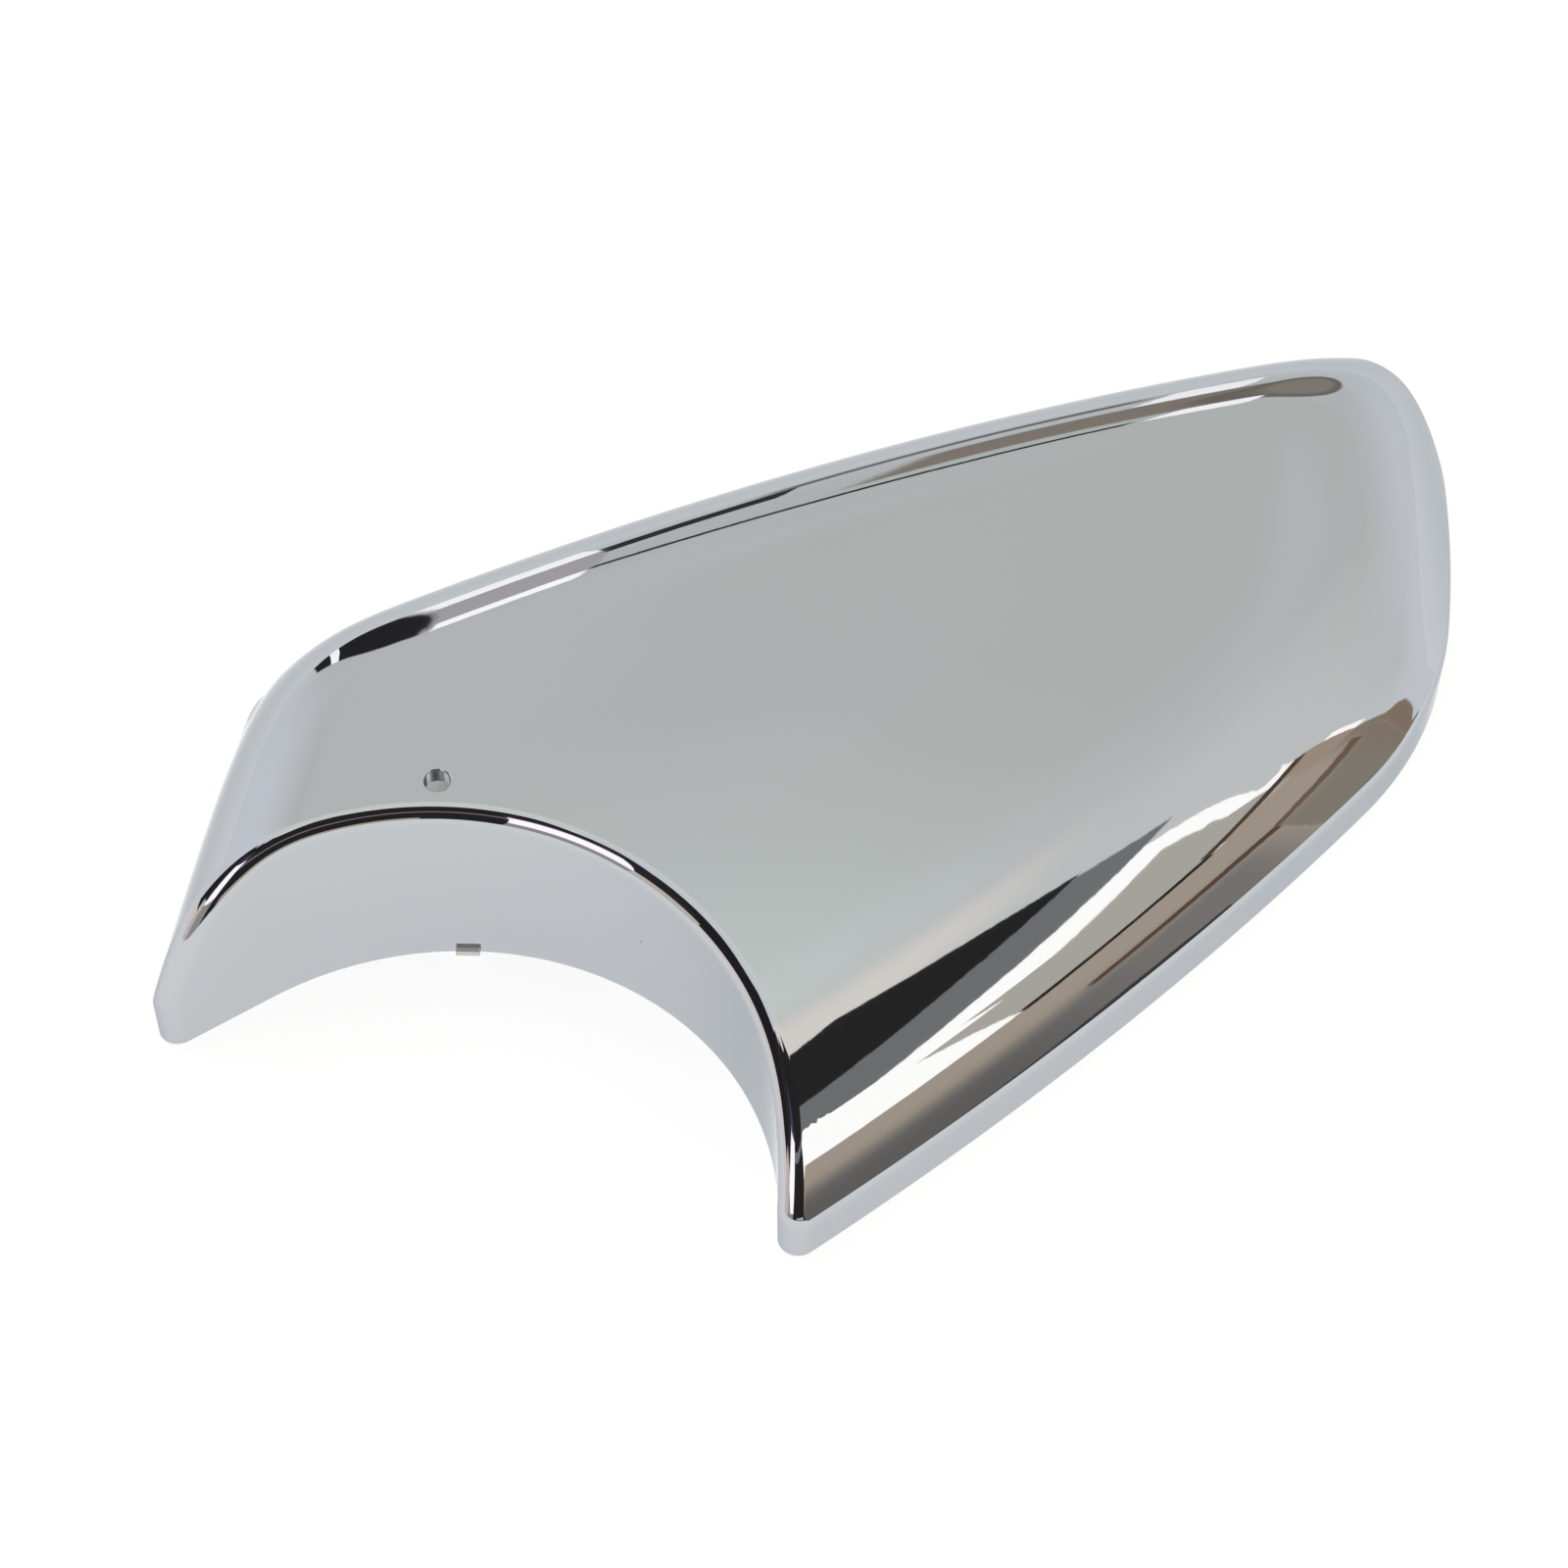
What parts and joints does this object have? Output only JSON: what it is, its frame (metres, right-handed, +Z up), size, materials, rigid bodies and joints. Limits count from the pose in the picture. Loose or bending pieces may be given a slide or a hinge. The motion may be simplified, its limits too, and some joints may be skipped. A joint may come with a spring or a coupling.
{
  "type": "wing mirror cover",
  "caption": "Chrome-plated wing mirror cover: a crowned, thin-walled shell with rolled edges, an open back and a round arch that clears the mirror's foot.",
  "frame": {"origin": "where the axis of the round arch meets the plane of the rim", "axes": "+X along the far edge, away from the arch; +Y across the face, from the near edge to the far edge; +Z up from the rim to the crowned face"},
  "size_m": [0.2433, 0.1407, 0.0352],
  "materials": {
    "bright_plating": "bright chrome plating over moulded plastic"
  },
  "bodies": {
    "root": {"mirror_cover": "bright_plating"}
  },
  "joints": []
}
